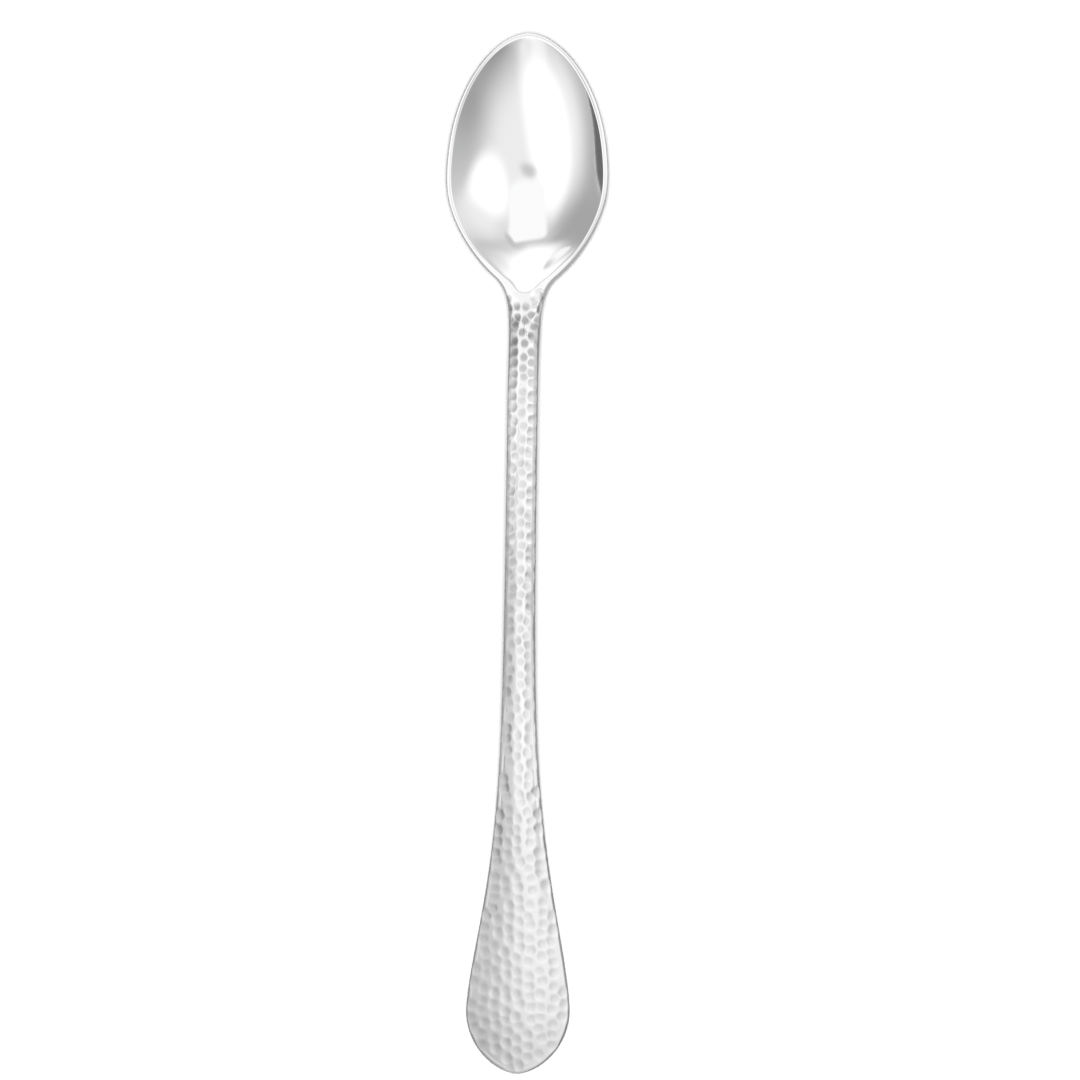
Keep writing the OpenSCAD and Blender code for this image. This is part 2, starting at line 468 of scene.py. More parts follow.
class Smithy:
    """A Geometry Nodes tree that is being built."""

    def __init__(self, name):
        self.tree = bpy.data.node_groups.new(name, "GeometryNodeTree")
        self.entry = self.node("NodeGroupInput")
        self.exit = self.node("NodeGroupOutput")
        self.tree.interface.new_socket("Geometry", in_out="INPUT", socket_type="NodeSocketGeometry")
        self.tree.interface.new_socket("Geometry", in_out="OUTPUT", socket_type="NodeSocketGeometry")

    def input(self, name, kind, value=None):
        socket = self.tree.interface.new_socket(name, in_out="INPUT", socket_type=kind)
        if value is not None:
            socket.default_value = value
        return Field(self.tree, self.entry.outputs[name])

    def node(self, kind, **settings):
        node = self.tree.nodes.new(kind)
        for name, value in settings.items():
            setattr(node, name, value)
        return node

    def make(self, kind, settings=None, **inputs):
        """Adds a node, gives its inputs by name or number and returns its first output."""
        node = self.node(kind, **(settings or {}))
        for name, value in inputs.items():
            key = int(name[1:]) if name[0] == "n" and name[1:].isdigit() else spoken(name)
            give(self.tree, value, node.inputs[key])
        return Field(self.tree, node.outputs[0])

    def vector(self, x, y, z):
        return self.make("ShaderNodeCombineXYZ", n0=x, n1=y, n2=z)

    def parts_of(self, vector):
        node = self.node("ShaderNodeSeparateXYZ")
        give(self.tree, vector, node.inputs[0])
        return [Field(self.tree, socket) for socket in node.outputs]

    def place(self, geometry, position):
        return self.make("GeometryNodeSetPosition", geometry=geometry, position=position)

    def without(self, geometry, selection, domain="POINT"):
        """The geometry without the points or faces that are selected."""
        return self.make(
            "GeometryNodeDeleteGeometry",
            settings={"domain": domain},
            geometry=geometry,
            selection=selection,
        )

    def keep(self, geometry, name, value, kind="FLOAT"):
        """Stores a value at the points under a name, and returns the geometry."""
        settings = {"data_type": kind, "domain": "POINT"}
        node = self.node("GeometryNodeStoreNamedAttribute", **settings)
        give(self.tree, geometry, node.inputs["Geometry"])
        node.inputs["Name"].default_value = name
        give(self.tree, value, node.inputs["Value"])
        return Field(self.tree, node.outputs[0])

    def kept(self, name, kind="FLOAT"):
        step = ("kept", name)
        if step not in known_steps:
            node = self.node("GeometryNodeInputNamedAttribute", data_type=kind)
            node.inputs["Name"].default_value = name
            known_steps[step] = Field(self.tree, node.outputs["Attribute"])
        return known_steps[step]

    def grid(self, columns, rows):
        """A grid of points, with their numbers in X and Y, which count up from 0."""
        mesh = self.make(
            "GeometryNodeMeshGrid",
            size_x=float(columns - 1),
            size_y=float(rows - 1),
            vertices_x=columns,
            vertices_y=rows,
        )
        x, y, _ = self.parts_of(self.make("GeometryNodeInputPosition"))
        return mesh, x + (columns - 1) / 2, y + (rows - 1) / 2


def rib_edge(form, rib, inset):
    """Plan of a point of a rib's edge zone, by its inset from the outline."""
    shift = inset * (1.0 - rib["tip_part"] * rib["tip_part"])
    tip_s = form.bowl_shoulder - (form.bowl_shoulder - shift) * cosine(rib["tip_angle"])
    tip_x = form.tip_side(tip_s, inset)
    end_x = (form.end_half - inset) * power(sine(rib["end_angle"]), 2 * form.END_FULLNESS)
    end_s = form.end_at + (form.end_nose - inset) * cosine(rib["end_angle"])
    x = choose(rib["at_end"], end_x, form.half_width(rib["s"], inset))
    s = choose(rib["at_end"], end_s, rib["s"])
    return choose(rib["at_tip"], tip_x, x), choose(rib["at_tip"], tip_s, s)


def blank(smithy, form):
    """The smooth forging: ribs from the middle line out over the top, round the side and back."""
    to_side = TOP_STEPS + FLAT_STEPS
    to_under = to_side + SIDE_STEPS
    to_stem = TIP_RIBS + BOWL_RIBS
    to_end = to_stem + STEM_RIBS
    ribs = to_end + END_RIBS
    mesh, step, number = smithy.grid(to_under + UNDER_STEPS + 1, 2 * ribs + 1)
    count = ribs - unsigned(number - float(ribs))
    side = choose(below(number, ribs + 0.5), 1.0, -1.0)

    tip_turn = math.radians(TIP_TURN)
    tip_from = form.bowl_shoulder * (1.0 - math.cos(tip_turn))
    tip_part = clamp(count / TIP_RIBS)
    bowl_part = clamp((count - TIP_RIBS) / BOWL_RIBS)
    stem_part = clamp((count - to_stem) / STEM_RIBS)
    end_part = clamp((count - to_end) / END_RIBS)
    in_bowl = below(count, to_stem + 0.5)
    across_s = choose(
        in_bowl,
        mix(tip_from, form.neck_at, bowl_part),
        mix(form.neck_at, form.end_at, stem_part),
    )
    rib = {
        "at_tip": below(count, TIP_RIBS - 0.5),
        "at_end": below(to_end + 0.5, count),
        "tip_part": tip_part,
        "tip_angle": tip_part * tip_turn,
        "end_angle": (1.0 - end_part) * (math.pi / 2),
        "s": across_s,
    }
    root = choose(rib["at_tip"], tip_from - TIP_ROOT * (1.0 - tip_part), across_s)
    root = choose(rib["at_end"], form.end_at + END_ROOT * end_part, root)

    over = clamp(step / TOP_STEPS)
    flat = clamp((step - TOP_STEPS) / FLAT_STEPS)
    round_ = clamp((step - to_side) / SIDE_STEPS)
    under = clamp((step - to_under) / UNDER_STEPS)
    _, outline_s = rib_edge(form, rib, 0.0)
    radius = form.round_in(outline_s)
    angle = (1.0 - 2.0 * round_) * (math.pi / 2)
    inset = radius * (1.0 - cosine(angle)) + form.flat_in(outline_s) * (1.0 - flat)
    crowding = choose(in_bowl, BOWL_CROWDING, HANDLE_CROWDING)
    inward = power(1.0 - over, crowding) + power(under, crowding)
    edge_x, edge_s = rib_edge(form, rib, inset)
    x = mix(edge_x, 0.0, inward)
    s = mix(edge_s, root, inward)

    top_z = form.top_height(x, s)
    side_z = form.side_height(s) + form.edge(s) / 2.0 * sine(angle)
    under_z = form.under_height(x, s)
    on_top = below(step, to_side + 0.5)
    on_side = below(step, to_under - 0.5)
    z = choose(on_top, top_z, choose(on_side, side_z, under_z))
    # 1 where the hammer comes from above, -1 where it comes from below, and 0 in the side's middle
    low_side = choose(below(0.55, round_), -1.0, 0.0)
    on_round = choose(below(round_, 0.45), 1.0, low_side)
    face = choose(on_top, 1.0, choose(on_side, on_round, -1.0))
    # Distance from the outline, as a multiple of the rounded side's inset
    inside = (form.half_width(s, 0.0) - x) / form.round_in(s)

    values = {"along": s, "across": side * x, "face": face, "inside": inside, "lift": z}
    for name, value in values.items():
        mesh = smithy.keep(mesh, name, value)
    across, along, lift = (smithy.kept(name) for name in ("across", "along", "lift"))
    mesh = smithy.place(mesh, smithy.vector(across, form.overall_length / 2.0 - along, lift))
    mesh = smithy.make("GeometryNodeMergeByDistance", geometry=mesh, distance=0.003)
    return smithy.make("GeometryNodeFlipFaces", mesh=mesh)


def hammer_blows(smithy, form, marks, steel, face, seed):
    """Points where the hammer struck one face, laid out over the plan in uneven, staggered columns.
    Neighbours are of three different families, and each keeps its place, the plane that touches
    the steel there, its depth and how round the hammer's face was."""
    mesh, column, row = smithy.grid(2 * HALF_COLUMNS + 1, ROWS)
    column = column - float(HALF_COLUMNS)
    odd = worked_out("FLOORED_MODULO", column, 2.0)
    turn = row - (column - odd) / 2.0
    family = worked_out("FLOORED_MODULO", column - turn, 3.0)
    wander = smithy.make(
        "FunctionNodeRandomValue",
        settings={"data_type": "FLOAT_VECTOR"},
        n0=(-1.0, -1.0, -1.0),
        n1=(1.0, 1.0, 1.0),
        seed=seed,
    )
    aside, ahead, strength = smithy.parts_of(wander)
    s = ROWS_FROM + marks.pitch_along * (row + 0.5 * odd + ahead * marks.unevenness * 0.5)
    pitch = mix(marks.pitch_stem, marks.pitch_end, ease(*FURTHER_APART, s))
    x = pitch * (column + aside * marks.unevenness * 0.5)
    start = MARKS_FROM - MARKS_FROM_SLANT * greater(0.0, unsigned(x) - MARKS_FROM_HALF)
    # At the neck the outermost blows fall hard on the rounded edge
    at_neck = 1.0 - ease(*NECK_BLOWS_END, s)
    outermost = form.half_width(s, mix(OUTERMOST, OUTERMOST_AT_NECK, at_neck))
    far_in = below(unsigned(x), outermost)
    border = form.round_in(s) + form.flat_in(s)
    edge_column = form.half_width(s, mix(border + DRAWN_IN, DRAWN_IN_AT_NECK, at_neck))
    on_edge = at_neck * below(edge_column, unsigned(x))
    x = lesser(edge_column, greater(0.0 - edge_column, x))
    kept = far_in * below(start, s) * below(s, form.overall_length - FREE_AT_END)
    depth = mix(marks.depth_stem, marks.depth_end, ease(*SHALLOWER, s))
    depth = depth * (1.0 + STRENGTH_IN_DEPTH * strength + marks.edge_blows * on_edge)
    ball = marks.hammer_face * (1.0 - STRENGTH_IN_FACE * strength)
    hit = smithy.node("GeometryNodeRaycast")
    give(smithy.tree, steel, hit.inputs["Target Geometry"])
    start_point = smithy.vector(x, form.overall_length / 2.0 - s, AIM * face)
    give(smithy.tree, start_point, hit.inputs["Source Position"])
    hit.inputs["Ray Direction"].default_value = (0.0, 0.0, -face)
    hit.inputs["Ray Length"].default_value = 2.0 * AIM
    _, _, foot = smithy.parts_of(Field(smithy.tree, hit.outputs["Hit Position"]))
    nx, ny, nz = smithy.parts_of(Field(smithy.tree, hit.outputs["Hit Normal"]))
    facet = smithy.vector(foot, marks.tilt * ahead - nx / nz, marks.tilt * strength + ny / nz)
    mesh = smithy.keep(mesh, "kept", kept)
    mesh = smithy.keep(mesh, "family", family)
    mesh = smithy.keep(mesh, "facet", facet, "FLOAT_VECTOR")
    mesh = smithy.keep(mesh, "blow", smithy.vector(depth, ball, 0.0), "FLOAT_VECTOR")
    mesh = smithy.keep(mesh, "plan", smithy.vector(x, s, FACES_APART * face), "FLOAT_VECTOR")
    mesh = smithy.place(mesh, smithy.kept("plan", "FLOAT_VECTOR"))
    return smithy.without(mesh, below(smithy.kept("kept"), 0.5))


def nearest_blow(smithy, blows, family, here):
    """Place, plane and depth of the nearest blow of a family, each as a list of three fields."""
    others = below(0.5, unsigned(smithy.kept("family") - float(family)))
    members = smithy.without(blows, others)
    nearest = smithy.make("GeometryNodeSampleNearest", geometry=members, sample_position=here)
    found = []
    for name in ("plan", "facet", "blow"):
        value = smithy.make(
            "GeometryNodeSampleIndex",
            settings={"data_type": "FLOAT_VECTOR", "domain": "POINT"},
            geometry=members,
            value=smithy.kept(name, "FLOAT_VECTOR"),
            index=nearest,
        )
        found.append(smithy.parts_of(value))
    return found


def hammered(smithy, marks, steel, blows):
    """The forging with the marks struck into it. Each mark is a shallow round hollow in the
    plane that touches the steel at its middle, and soft ridges are left where marks meet."""
    face, along, across, lift = (smithy.kept(name) for name in ("face", "along", "across", "lift"))
    here = smithy.vector(across, along, FACES_APART * face)
    base = face * lift
    struck = base
    reach = FAR_OFF
    next_reach = FAR_OFF
    for family in range(3):
        place, plane, blow = nearest_blow(smithy, blows, family, here)
        middle_x, middle_s, _ = place
        foot, lean_x, lean_s = plane
        depth, ball, _ = blow
        dx = across - middle_x
        ds = along - middle_s
        distance = power(dx * dx + ds * ds, 0.5)
        next_reach = lesser(next_reach, greater(reach, distance))
        reach = lesser(reach, distance)
        facet = face * (foot + lean_x * dx + lean_s * ds) - depth + (dx * dx + ds * ds) / (2.0 * ball)
        struck = worked_out("SMOOTH_MIN", struck, facet, marks.ridge_softness)
    weight = ease(MARKS_BEGIN, marks.border, smithy.kept("inside")) * unsigned(face)
    height = choose(below(0.5, unsigned(face)), face * mix(base, struck, weight), lift)
    hollow = (1.0 - ease(*HOLLOW_REACH, reach)) * ease(*HOLLOW_CLEAR, next_reach - reach)
    hollow = hollow * weight * ease(*HOLLOW_DEPTH, base - struck)
    # Painted shade: stores where the handle's colour is darkened, in the marks' hollows and beside
    # the edges, and where it is rougher
    steel = smithy.keep(steel, "rough_and_painted_shade", painted_shade_places(smithy, marks, hollow))
    x, y, _ = smithy.parts_of(smithy.make("GeometryNodeInputPosition"))
    return smithy.place(steel, smithy.vector(x, y, height))


def painted_shade_places(smithy, marks, hollow):
    """How much rougher the steel is where the polishing wheel hardly reached, and how much painted
    shade darkens it there, from 0 to 1: in the hollows of the marks, most of all at the neck, on
    the strip beside the stem's edge, and on the rounded edge of the handle's end. The darkening
    stands in for the shade in the hollows and the grey reflections along the edges."""
    names = ("face", "along", "across", "inside")
    face, along, across, inside = (smithy.kept(name) for name in names)
    neck_sides = ease(*SHADED_ROUGH["neck_sides"], unsigned(across))
    neck = mix(ease(*SHADED_ROUGH["neck_starts"], along), 1.0, neck_sides)
    neck = neck * mix(1.0, marks.dullness, ease(*SHADED_ROUGH["neck_ends"], along))
    past_stem = ease(*SHADED_ROUGH["stem_ends"], along)
    in_hollows = hollow * mix(neck, END_SHADE_AND_ROUGHNESS * marks.dullness, past_stem)
    strip = (1.0 - ease(*SHADED_ROUGH["strip"], inside)) * unsigned(face)
    strip = strip * ease(*SHADED_ROUGH["strip_starts"], along) * (1.0 - ease(*SHADED_ROUGH["strip_ends"], along))
    round_end = (1.0 - ease(*SHADED_ROUGH["round"], inside)) * ease(*SHADED_ROUGH["round_starts"], along)
    return greater(in_hollows, marks.edge_dullness * greater(strip, round_end))


def lay_out(tree):
    """Puts the nodes in rows, in the order in which they were made."""
    for number, node in enumerate(tree.nodes):
        node.location = (180 * (number % 24), -180 * (number // 24))


def spoon_tree():
    """The whole spoon's tree. Its input Handle says which of the two pieces it hands out."""
    smithy = Smithy("forged_and_hammered")
    tree = smithy.tree

    def inputs(values):
        return {n: smithy.input(spoken(n), "NodeSocketFloat", value) for n, value in values.items()}

    form = Forging(inputs(with_derived(SIZES)))
    marks = SimpleNamespace(**inputs(MARKS))
    top_seed = smithy.input("Top Seed", "NodeSocketInt", TOP_SEED)
    under_seed = smithy.input("Underside Seed", "NodeSocketInt", UNDER_SEED)
    wants_handle = smithy.input("Handle", "NodeSocketBool", False)
    finish = smithy.input("Finish", "NodeSocketMaterial")

    steel = blank(smithy, form)
    join = smithy.node("GeometryNodeJoinGeometry")
    for face, seed in ((1.0, top_seed), (-1.0, under_seed)):
        tree.links.new(hammer_blows(smithy, form, marks, steel, face, seed).socket, join.inputs[0])
    steel = hammered(smithy, marks, steel, Field(tree, join.outputs[0]))
    steel = smithy.keep(steel, "outward", smithy.make("GeometryNodeInputNormal"), "FLOAT_VECTOR")
    beyond = below(form.neck_at, smithy.kept("along"))
    steel = smithy.without(steel, below(0.5, unsigned(beyond - wants_handle)), "FACE")
    scale = smithy.make(
        "ShaderNodeVectorMath",
        settings={"operation": "SCALE"},
        n0=smithy.make("GeometryNodeInputPosition"),
        n3=MM,
    )
    steel = smithy.place(steel, scale)
    steel = smithy.make("GeometryNodeSetShadeSmooth", geometry=steel)
    steel = smithy.make("GeometryNodeRealizeInstances", geometry=steel)
    steel = smithy.make("GeometryNodeSetMaterial", geometry=steel, material=finish)
    tree.links.new(steel.socket, smithy.exit.inputs[0])
    lay_out(tree)
    return tree


def forged(name, tree, handle, finish):
    """One part of the spoon as a plain, closed mesh with smooth shading across the neck."""
    start = bpy.data.objects.new(name, bpy.data.meshes.new(name))
    bpy.context.scene.collection.objects.link(start)
    modifier = start.modifiers.new("Forging", "NODES")
    modifier.node_group = tree
    inputs = {s.name: s.identifier for s in tree.interface.items_tree if s.in_out == "INPUT"}
    modifier[inputs["Handle"]] = handle
    modifier[inputs["Finish"]] = finish
    bpy.context.view_layer.update()
    shown = start.evaluated_get(bpy.context.evaluated_depsgraph_get())
    mesh = bpy.data.meshes.new_from_object(shown)
    start.modifiers.remove(modifier)
    start.data = mesh
    close_cut(mesh)
    if not mesh.materials:
        mesh.materials.append(finish)
    return start


def close_cut(mesh):
    """Closes the cut at the neck, and keeps the shading of the whole forging beside it."""
    shape = bmesh.new()
    shape.from_mesh(mesh)
    open_edges = [edge for edge in shape.edges if edge.is_boundary]
    before = set(shape.faces)
    bmesh.ops.holes_fill(shape, edges=open_edges, sides=0)
    shape.faces.index_update()
    caps = {face.index for face in shape.faces if face not in before}
    shape.to_mesh(mesh)
    shape.free()
    outward = np.zeros(len(mesh.vertices) * 3, np.float32)
    mesh.attributes["outward"].data.foreach_get("vector", outward)
    outward = outward.reshape(-1, 3)
    corners = np.zeros(len(mesh.loops), np.int32)
    mesh.loops.foreach_get("vertex_index", corners)
    normals = outward[corners]
    for number in caps:
        face = mesh.polygons[number]
        for corner in face.loop_indices:
            normals[corner] = face.normal
    mesh.normals_split_custom_set([tuple(normal) for normal in normals.tolist()])
    mesh.update()


# Finishes and shaders


def emptied(owner):
    """The node tree of a new material or world, with nothing in it."""
    owner.use_nodes = True
    owner.node_tree.nodes.clear()
    return owner.node_tree


def coordinates(tree, kind):
    """The three coordinates of one kind, as fields."""
    place = tree.nodes.new("ShaderNodeTexCoord")
    split = tree.nodes.new("ShaderNodeSeparateXYZ")
    tree.links.new(place.outputs[kind], split.inputs[0])
    return [Field(tree, socket) for socket in split.outputs]


def blended(tree, amount, first, second, output):
    """Shows the first shader where the amount is 0, and the second where it is 1."""
    either = tree.nodes.new("ShaderNodeMixShader")
    give(tree, amount, either.inputs[0])
    tree.links.new(first.outputs[0], either.inputs[1])
    tree.links.new(second.outputs[0], either.inputs[2])
    tree.links.new(either.outputs[0], output.inputs["Surface"])
    lay_out(tree)


# Size of the clouds in the roughness, and of the polishing lines, which run along Y
CLOUD_SCALE = 140.0
LINES_SCALE = (9000.0, 900.0, 9000.0)
LINES_DEPTH = 0.00002
# How much rougher the dullest places of the hammered steel are
DULL_ROUGHNESS = 0.08


def steel_finish(name, colour, roughness, spread, grain, rough_and_painted_shade=0.0):
    """Stainless steel. Its roughness wavers by a spread, fine polishing lines run along Y, and
    the places that the polishing wheel hardly reaches are rougher and darkened with painted shade."""
    finish = bpy.data.materials.new(name)
    tree = emptied(finish)
    output = tree.nodes.new("ShaderNodeOutputMaterial")
    shader = tree.nodes.new("ShaderNodeBsdfPrincipled")
    shader.inputs["Metallic"].default_value = 1.0
    place = tree.nodes.new("ShaderNodeTexCoord")
    cloud = tree.nodes.new("ShaderNodeTexNoise")
    cloud.inputs["Scale"].default_value = CLOUD_SCALE
    cloud.inputs["Detail"].default_value = 4.0
    tree.links.new(place.outputs["Object"], cloud.inputs["Vector"])
    waver = (Field(tree, cloud.outputs["Fac"]) - 0.5) * (2.0 * spread)
    # Painted shade: the base colour darkens toward the given share where the attribute is 1, and the
    # roughness rises there too
    if rough_and_painted_shade:
        places = tree.nodes.new("ShaderNodeAttribute")
        places.attribute_name = "rough_and_painted_shade"
        rough_and_shaded = Field(tree, places.outputs["Fac"])
        shade_tint = tree.nodes.new("ShaderNodeMix")
        shade_tint.data_type = "RGBA"
        shade_tint.inputs["A"].default_value = (*colour, 1.0)
        shade_tint.inputs["B"].default_value = (*(value * (1.0 - rough_and_painted_shade) for value in colour), 1.0)
        give(tree, rough_and_shaded, shade_tint.inputs["Factor"])
        tree.links.new(shade_tint.outputs["Result"], shader.inputs["Base Color"])
        waver = waver + rough_and_shaded * DULL_ROUGHNESS
    else:
        shader.inputs["Base Color"].default_value = (*colour, 1.0)
    give(tree, waver + roughness, shader.inputs["Roughness"])
    stretch = tree.nodes.new("ShaderNodeMapping")
    stretch.inputs["Scale"].default_value = LINES_SCALE
    lines = tree.nodes.new("ShaderNodeTexNoise")
    lines.inputs["Scale"].default_value = 1.0
    lines.inputs["Detail"].default_value = 2.0
    bump = tree.nodes.new("ShaderNodeBump")
    bump.inputs["Strength"].default_value = grain
    bump.inputs["Distance"].default_value = LINES_DEPTH
    tree.links.new(place.outputs["Object"], stretch.inputs["Vector"])
    tree.links.new(stretch.outputs["Vector"], lines.inputs["Vector"])
    tree.links.new(lines.outputs["Fac"], bump.inputs["Height"])
    tree.links.new(bump.outputs["Normal"], shader.inputs["Normal"])
    tree.links.new(shader.outputs["BSDF"], output.inputs["Surface"])
    lay_out(tree)
    return finish


# The studio

# Level of the plain light on the table, to which the lamp adds: at 1 together, a colour shows as
# it is written
PLAIN_LIGHT = 0.3
LAMP = {"azimuth": 102.0, "elevation": 85.3, "distance": 1.6, "side": 0.22, "watts": 20.0}
# The table: how far it runs to each side, how far below the spoon it lies, how pale it is, and
# the distances over which it fades into the white background
TABLE_HALF = 3.0
TABLE_DROP = 0.00002
TABLE_WHITE = (0.96, 0.96, 0.96, 1.0)
TABLE_FADE = (0.14, 0.45)

# Level of the tent's top, and its panels as the steel mirrors them: level, direction, half size,
# softness of the edge, squareness, widening, bend
TENT_TOP = 1.24
TENT_PANELS = {
    "over_the_handle": (1.24, (200.0, 45.0), (9.0, 30.0), 0.7),
    "right_glow": (1.25, (62.0, 64.0), (13.0, 16.0), 0.8),
    "right_panel": (1.6, (75.0, 46.5), (15.0, 21.5), 0.45),
    "left_glow": (1.3, (248.0, 50.0), (32.0, 24.0), 0.8),
    "left_panel": (1.65, (239.0, 31.0), (40.0, 23.0), 0.45),
    "seam": (0.85, (355.0, 45.0), (36.0, 7.0), 0.5, 2.0, 0.0, 7.0),
    "opening": (1.42, (355.0, 22.5), (28.5, 19.5), 0.12, 7.0, 0.2, 6.0),
    "beside_lens": (0.85, (275.0, 3.0), (2.5, 9.0), 0.8),
    "corner": (0.8, (33.0, 53.0), (7.0, 4.0), 0.6),
    "tip_panel": (1.58, (352.0, 72.0), (38.0, 24.0), 0.3, 2.0, 0.25),
}
# Levels of the tent's wall near the table, by azimuth in degrees, and the leans from straight up
# over which the top passes into the wall
TENT_WALL = (
    (0, 0.95),
    (30, 0.85),
    (50, 0.78),
    (68, 0.98),
    (88, 0.82),
    (108, 0.45),
    (122, 0.58),
    (140, 0.42),
    (158, 0.36),
    (180, 0.7),
    (215, 0.85),
    (245, 0.75),
    (275, 0.62),
    (300, 0.5),
    (318, 0.7),
    (335, 0.95),
    (360, 0.95),
)
WALL_LEANS = (22.0, 82.0)
# How much brighter the tent is where the steel mirrors it by way of another place of the steel
MIRRORED_TWICE = 0.45

CAMERA = {
    "aside": 4.6,
    "toward_end": 1.0,
    "roll": 0.848,
    "distance": 1.3,
    "target": (3.069, 2.598, 4.0),
    "lens": 237.26,
}


def panel(ahead, aside, up, direction, size, softness, squareness=2.0, widening=0.0, bend=0.0):
    """1 inside a soft-edged panel of the tent and 0 outside. Its direction is an azimuth, 0 over
    the bowl's tip and 90 over the right, and a lean from straight up, and its size is half of
    what it spans, all in degrees. Widening makes its low end wider, and bend hangs its sides."""
    turn = math.radians(direction[0])
    sideways = aside * math.cos(turn) - ahead * math.sin(turn)
    toward = aside * math.sin(turn) + ahead * math.cos(turn)
    off_x = worked_out("ARCSINE", sideways) * (180.0 / math.pi / size[0])
    off_y = worked_out("ARCTAN2", toward, up) * (180.0 / math.pi) - direction[1]
    off_y = (off_y - bend * off_x * off_x) / size[1]
    off_x = unsigned(off_x) / (1.0 + widening * lesser(1.0, greater(-1.0, off_y)))
    away = power(power(off_x, squareness) + power(unsigned(off_y), squareness), 1.0 / squareness)
    return 1.0 - ease(1.0 - softness, 1.0 + softness, away)


def tent_level(tree):
    """Brightness of the studio's white tent as the steel mirrors it, by direction: near white
    overhead, greyer walls low down, lit panels to the left and to the right, and toward the
    bowl's tip the opening, the seam and one more panel."""
    aside, ahead, up = coordinates(tree, "Generated")
    lean = worked_out("ARCCOSINE", up) * (180.0 / math.pi)
    azimuth = worked_out("FLOORED_MODULO", worked_out("ARCTAN2", aside, ahead) / (2 * math.pi), 1.0)
    wall = tree.nodes.new("ShaderNodeValToRGB")
    wall.color_ramp.interpolation = "B_SPLINE"
    stops = wall.color_ramp.elements
    ends = {0: stops[0], 360: stops[1]}
    for degrees, level in TENT_WALL:
        stop = ends.get(degrees) or stops.new(degrees / 360)
        stop.color = (level, level, level, 1.0)
    give(tree, azimuth, wall.inputs["Fac"])
    level = mix(TENT_TOP, Field(tree, wall.outputs["Color"]), ease(*WALL_LEANS, lean))
    for brightness, direction, size, *form in TENT_PANELS.values():
        level = mix(level, brightness, panel(ahead, aside, up, direction, size, *form))
    return level


def white_world():
    """White for what is seen past the spoon, plain light, and the tent for reflections."""
    world = bpy.data.worlds.new("white_studio")
    bpy.context.scene.world = world
    tree = emptied(world)
    output = tree.nodes.new("ShaderNodeOutputWorld")
    plain = tree.nodes.new("ShaderNodeBackground")
    mirrored = tree.nodes.new("ShaderNodeBackground")
    for background in (plain, mirrored):
        background.inputs["Color"].default_value = (1.0, 1.0, 1.0, 1.0)
    ray = tree.nodes.new("ShaderNodeLightPath")
    kinds = ("Is Camera Ray", "Is Transmission Ray", "Is Glossy Ray", "Glossy Depth")
    camera, through, glossy, bounces = (Field(tree, ray.outputs[kind]) for kind in kinds)
    give(tree, mix(PLAIN_LIGHT, 1.0, greater(camera, through)), plain.inputs["Strength"])
    twice = below(1.5, bounces)
    level = tent_level(tree) * (1.0 + MIRRORED_TWICE * twice)
    give(tree, level, mirrored.inputs["Strength"])
    blended(tree, glossy, plain, mirrored, output)


def flat_sheet(name, sides, ends, height):
    """A level rectangle between two values of x and two of y, in metres."""
    corners = [
        (sides[0], ends[0], height),
        (sides[1], ends[0], height),
        (sides[1], ends[1], height),
        (sides[0], ends[1], height),
    ]
    mesh = bpy.data.meshes.new(name)
    mesh.from_pydata(corners, [], [(0, 1, 2, 3)])
    mesh.update()
    sheet = bpy.data.objects.new(name, mesh)
    bpy.context.scene.collection.objects.link(sheet)
    return sheet


def white_floor():
    """A white table that takes the spoon's shadow. Past the lamp's pool of light it fades into
    the white of the background, and only for what looks at it straight."""
    span = (-TABLE_HALF, TABLE_HALF)
    floor = flat_sheet("floor", span, span, -TABLE_DROP)
    paint = bpy.data.materials.new("white_table")
    tree = emptied(paint)
    output = tree.nodes.new("ShaderNodeOutputMaterial")
    shader = tree.nodes.new("ShaderNodeBsdfPrincipled")
    shader.inputs["Base Color"].default_value = TABLE_WHITE
    shader.inputs["Roughness"].default_value = 0.9
    shader.inputs["Specular IOR Level"].default_value = 0.0
    white = tree.nodes.new("ShaderNodeEmission")
    x, y, _ = coordinates(tree, "Object")
    ray = tree.nodes.new("ShaderNodeLightPath")
    far = ease(*TABLE_FADE, power(x * x + y * y, 0.5)) * Field(tree, ray.outputs["Is Camera Ray"])
    blended(tree, far, shader, white, output)
    floor.data.materials.append(paint)


def level_over_handle(x, y):
    """Brightest a little right of the handle, greyer to the left and past the handle's end."""
    level = mix(0.92, 1.42, ease(-0.032, 0.012, x))
    level = mix(level, 1.02, ease(0.016, 0.042, x))
    level = mix(level, 0.5, ease(0.048, 0.07, unsigned(x)))
    return level * mix(0.6, 1.05, ease(-0.14, -0.04, y))


# Cards level with the table. Sides, ends, height and softness of the edge are in metres
CARDS = {
    "card_under": {
        "sides": (-0.13, 0.13),
        "ends": (-0.17, 0.17),
        "height": -0.00001,
        "softness": 0.05,
        "level_at": 0.6,
    },
    "card_over": {
        "sides": (-0.16, 0.16),
        "ends": (-0.2, 0.05),
        "height": 0.045,
        "softness": 0.02,
        "level_at": level_over_handle,
        "cut_back": 0.8,
    },
    "card_at_rim": {
        "sides": (-0.0139, -0.0108),
        "ends": (0.0685, 0.0753),
        "height": 0.0092,
        "softness": 0.0006,
        "level_at": 0.3,
        "bounces": 2,
    },
}


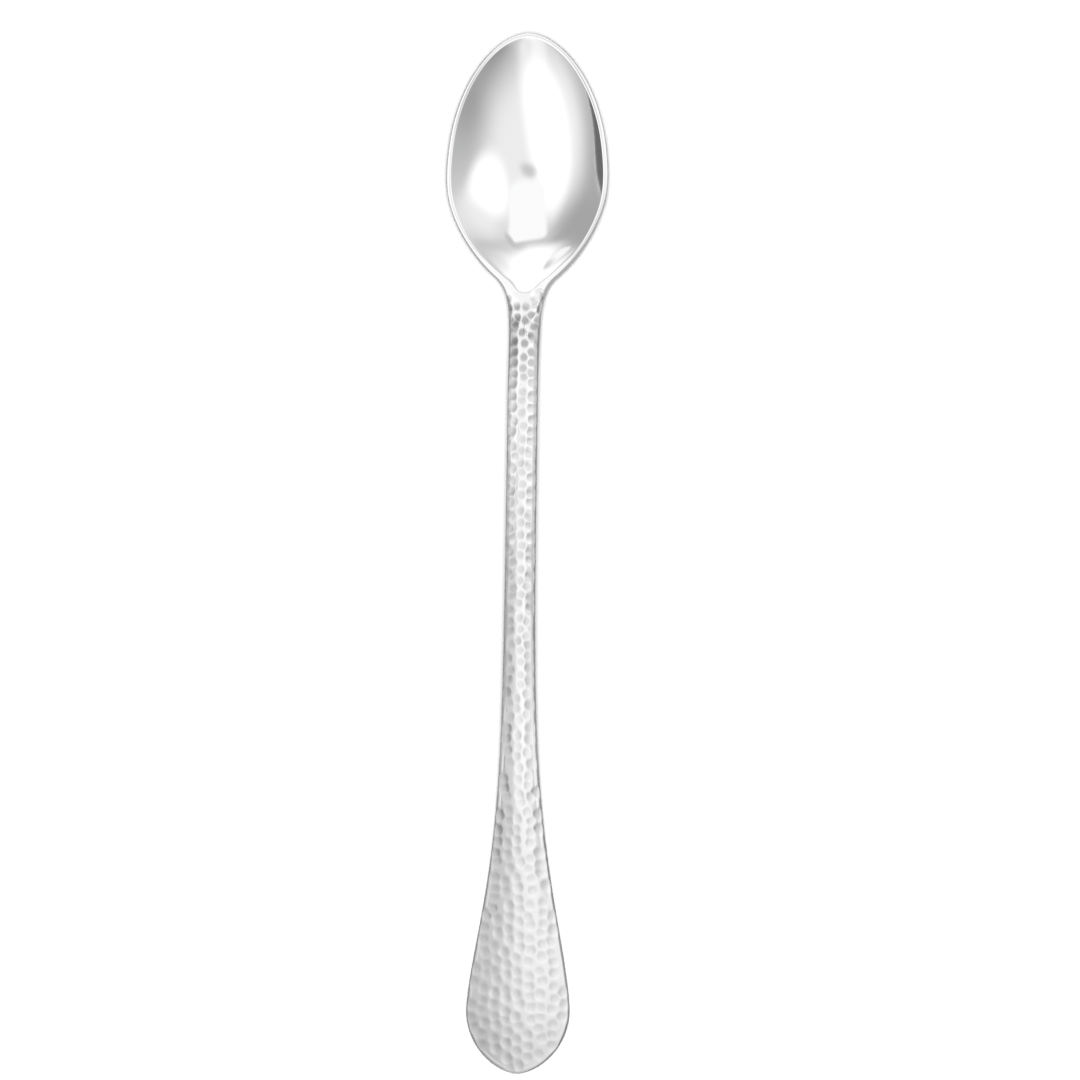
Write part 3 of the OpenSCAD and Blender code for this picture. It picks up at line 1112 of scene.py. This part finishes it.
def hidden_card(name, sides, ends, height, softness, level_at, cut_back=0.0, bounces=1):
    """A level, soft-edged card that only the steel's reflections show, after so many bounces.
    Its brightness is a number, or is worked out from the place on it in metres. Cut back, its
    end toward the bowl's tip runs to a point over the middle line."""
    card = flat_sheet(name, sides, ends, height)
    paint = bpy.data.materials.new(name)
    tree = emptied(paint)
    x, y, _ = coordinates(tree, "Object")
    amount = ease(sides[0], sides[0] + softness, x) * ease(ends[0], ends[0] + softness, y)
    amount = amount * (1.0 - ease(sides[1] - softness, sides[1], x))
    amount = amount * (1.0 - ease(ends[1] - softness, ends[1], y + cut_back * unsigned(x)))
    if bounces > 1:
        ray = tree.nodes.new("ShaderNodeLightPath")
        amount = amount * below(bounces - 0.5, Field(tree, ray.outputs["Glossy Depth"]))
    output = tree.nodes.new("ShaderNodeOutputMaterial")
    clear = tree.nodes.new("ShaderNodeBsdfTransparent")
    light = tree.nodes.new("ShaderNodeEmission")
    give(tree, level_at(x, y) if callable(level_at) else level_at, light.inputs["Strength"])
    blended(tree, amount, clear, light, output)
    card.data.materials.append(paint)
    card.visible_camera = False
    card.visible_diffuse = False
    card.visible_shadow = False
    card.visible_transmission = False


def lamp_by_camera():
    """One soft lamp, beside the camera, so that the shadow hides behind the spoon."""
    azimuth = math.radians(LAMP["azimuth"])
    elevation = math.radians(LAMP["elevation"])
    across = math.cos(elevation)
    toward = Vector((math.sin(azimuth) * across, math.cos(azimuth) * across, math.sin(elevation)))
    light = bpy.data.lights.new("soft_lamp_by_camera", "AREA")
    light.shape = "SQUARE"
    light.size = LAMP["side"]
    light.energy = LAMP["watts"]
    lamp = bpy.data.objects.new("soft_lamp_by_camera", light)
    lamp.location = toward * LAMP["distance"]
    lamp.rotation_euler = lamp.location.to_track_quat("Z", "Y").to_euler()
    bpy.context.scene.collection.objects.link(lamp)
    lamp.visible_camera = False
    lamp.visible_glossy = False


def camera_above():
    """The photograph's view: nearly straight down, from a little to the right."""
    aside = math.radians(CAMERA["aside"])
    toward = math.radians(CAMERA["toward_end"])
    target = Vector(CAMERA["target"]) * MM
    back = Vector((math.tan(aside), -math.tan(toward), 1.0)).normalized()
    right = Vector((0.0, 1.0, 0.0)).cross(back).normalized()
    up = back.cross(right)
    turn = math.radians(CAMERA["roll"])
    right, up = (
        math.cos(turn) * right + math.sin(turn) * up,
        math.cos(turn) * up - math.sin(turn) * right,
    )
    camera = bpy.data.cameras.new("camera")
    camera.sensor_width = 36.0
    camera.lens = CAMERA["lens"]
    camera.clip_start = 0.01
    camera.clip_end = 20.0
    view = bpy.data.objects.new("camera", camera)
    place = target + back * CAMERA["distance"]
    view.matrix_world = Matrix(
        (
            (right.x, up.x, back.x, place.x),
            (right.y, up.y, back.y, place.y),
            (right.z, up.z, back.z, place.z),
            (0.0, 0.0, 0.0, 1.0),
        )
    )
    bpy.context.scene.collection.objects.link(view)
    bpy.context.scene.camera = view


# The spoon in its studio

bpy.context.scene.view_settings.view_transform = "Standard"

tree = spoon_tree()
polished = steel_finish(
    "polished_steel",
    colour=(0.68, 0.68, 0.683),
    roughness=0.07,
    spread=0.02,
    grain=0.05,
)
beaten = steel_finish(
    "hammered_steel",
    colour=(0.66, 0.66, 0.663),
    roughness=0.19,
    spread=0.03,
    grain=0.1,
    # Painted shade: the hollows and edges are darkened to half the steel's colour
    rough_and_painted_shade=0.5,
)
parts = (
    ("polished_bowl", "bowl", False, polished, "polished_steel"),
    ("hammered_handle", "handle", True, beaten, "hammered_steel"),
)
for name, node, is_handle, finish, slot in parts:
    piece = forged(name, tree, is_handle, finish)
    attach(piece, "root")
    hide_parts(node)

white_world()
white_floor()
for name, card in CARDS.items():
    hidden_card(name, **card)
lamp_by_camera()
camera_above()
